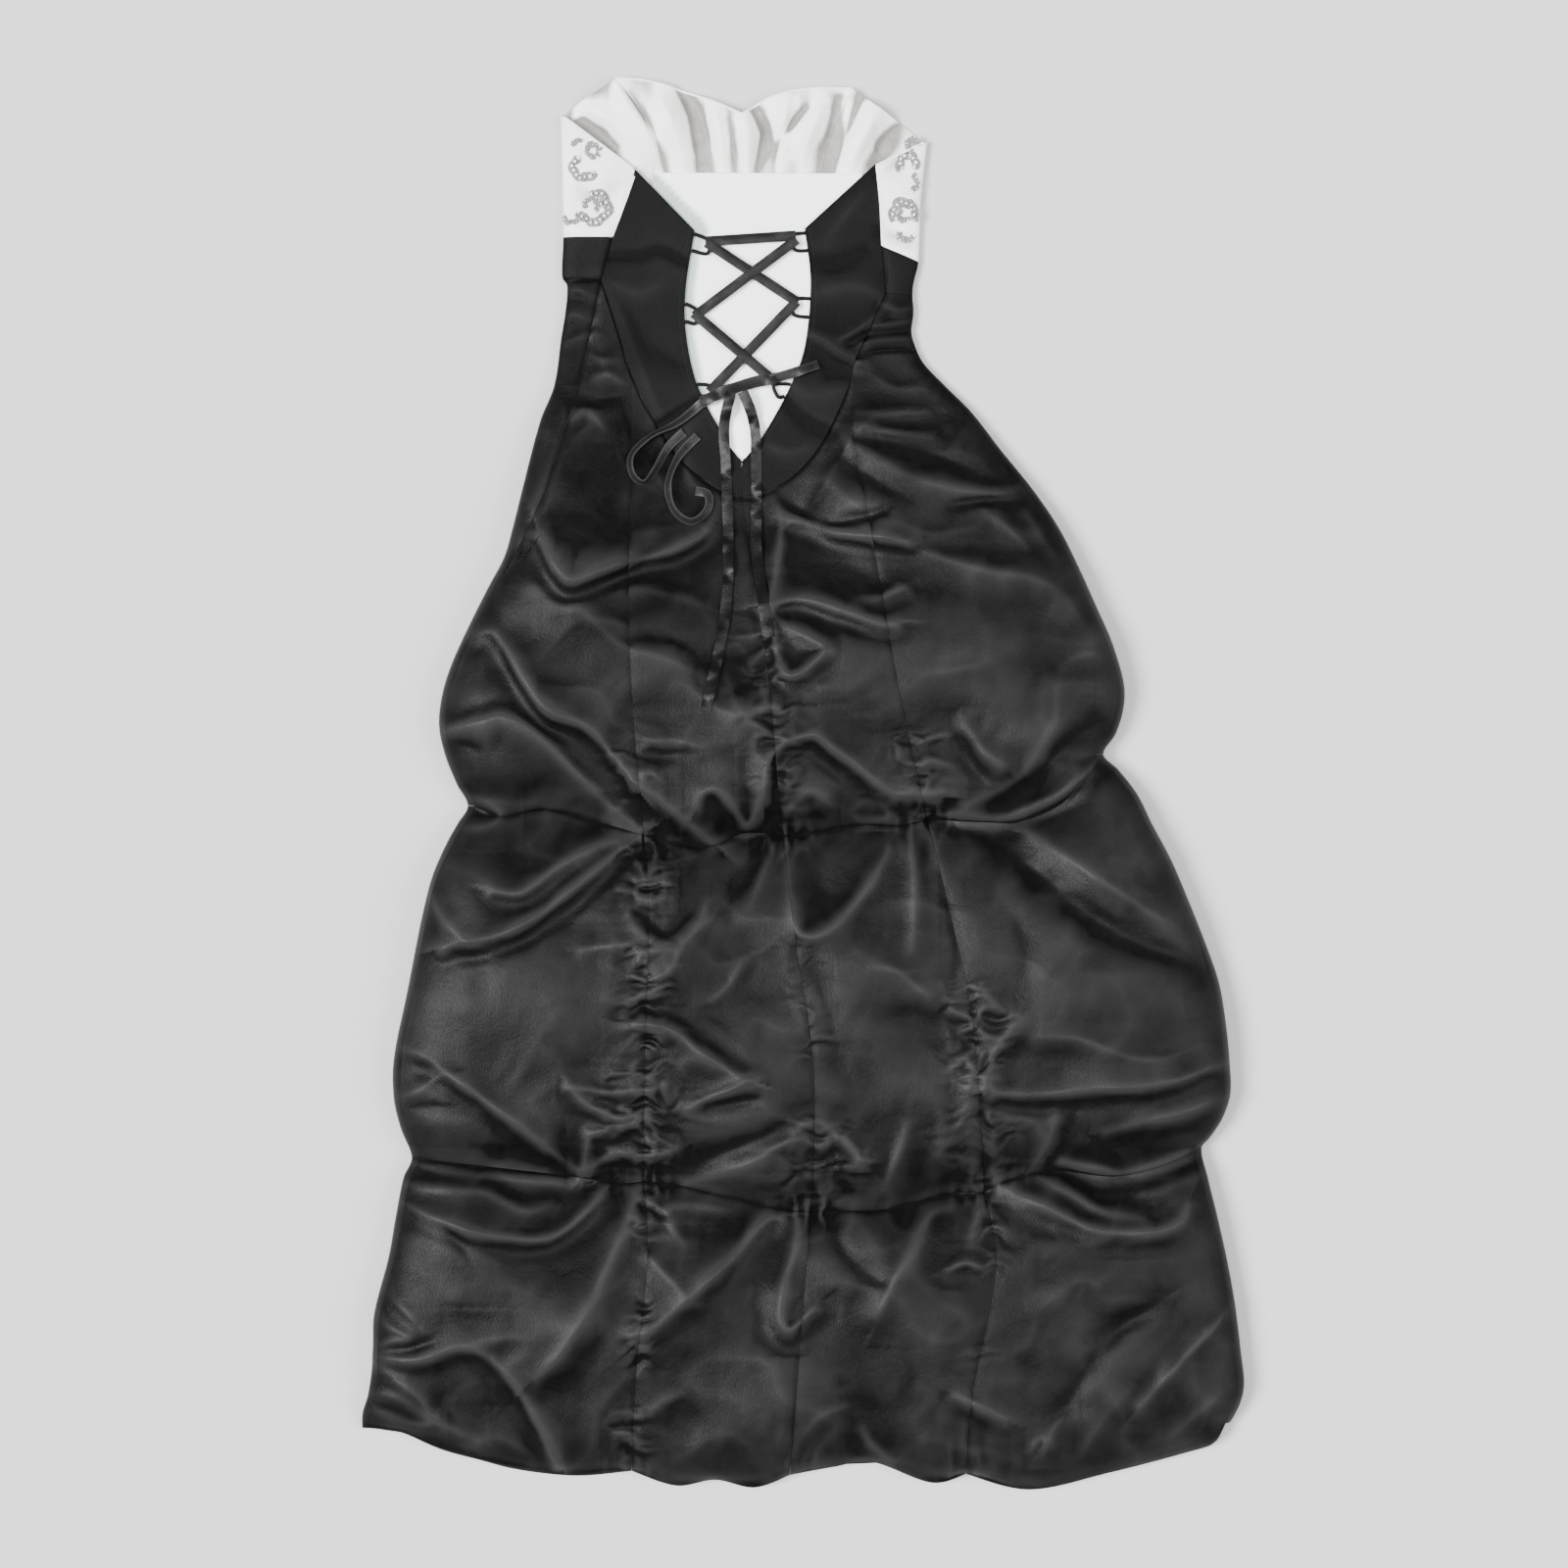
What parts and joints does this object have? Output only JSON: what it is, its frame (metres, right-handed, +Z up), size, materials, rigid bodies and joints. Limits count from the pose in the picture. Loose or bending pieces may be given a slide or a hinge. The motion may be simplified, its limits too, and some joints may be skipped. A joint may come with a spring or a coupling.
{
  "type": "corset dress",
  "caption": "Floor-length strapless evening dress with a laced corset back, white beaded bodice front and puffed black satin skirt, laid flat with its back up.",
  "frame": {"origin": "on the floor, under the middle of the dress laid flat", "axes": "+Z up out of the laced back, +Y from the hem to the neck edge, +X to the right in the picture"},
  "size_m": [0.8978, 1.4357, 0.0731],
  "materials": {
    "black_satin": "satin",
    "black_ribbon": "satin",
    "white_satin": "satin",
    "white_panel": "plain weave",
    "silver_beads": "beaded"
  },
  "bodies": {
    "root": {"bodice_front_center": "white_satin", "bodice_front_left": "white_satin", "bodice_front_right": "white_satin", "modesty_panel": "white_panel", "side_zip_tape": "white_panel", "underbust_band": "black_satin", "midriff_front": "black_satin", "bodice_back_left": "black_satin", "bodice_back_right": "black_satin", "lacing_loop_left_1": "black_satin", "lacing_loop_left_2": "black_satin", "lacing_loop_left_3": "black_satin", "lacing_loop_right_1": "black_satin", "lacing_loop_right_2": "black_satin", "lacing_loop_right_3": "black_satin", "lacing_top": "black_ribbon", "lacing_cross_1": "black_ribbon", "lacing_cross_2": "black_ribbon", "lacing_cross_3": "black_ribbon", "lacing_cross_4": "black_ribbon", "bow_knot": "black_ribbon", "bow_end_right": "black_ribbon", "bow_loop_upper": "black_ribbon", "bow_loop_lower": "black_ribbon", "bow_tail_left": "black_ribbon", "bow_tail_right": "black_ribbon", "applique_left_upper": "silver_beads", "applique_left_lower": "silver_beads", "applique_right_upper": "silver_beads", "applique_right_lower": "silver_beads", "skirt_upper_back_side_left": "black_satin", "skirt_upper_back_left": "black_satin", "skirt_upper_back_right": "black_satin", "skirt_upper_back_side_right": "black_satin", "skirt_upper_front": "black_satin", "skirt_middle_back_side_left": "black_satin", "skirt_middle_back_left": "black_satin", "skirt_middle_back_right": "black_satin", "skirt_middle_back_side_right": "black_satin", "skirt_middle_front": "black_satin", "skirt_lower_back_side_left": "black_satin", "skirt_lower_back_left": "black_satin", "skirt_lower_back_right": "black_satin", "skirt_lower_back_side_right": "black_satin", "skirt_lower_front": "black_satin"}
  },
  "joints": []
}
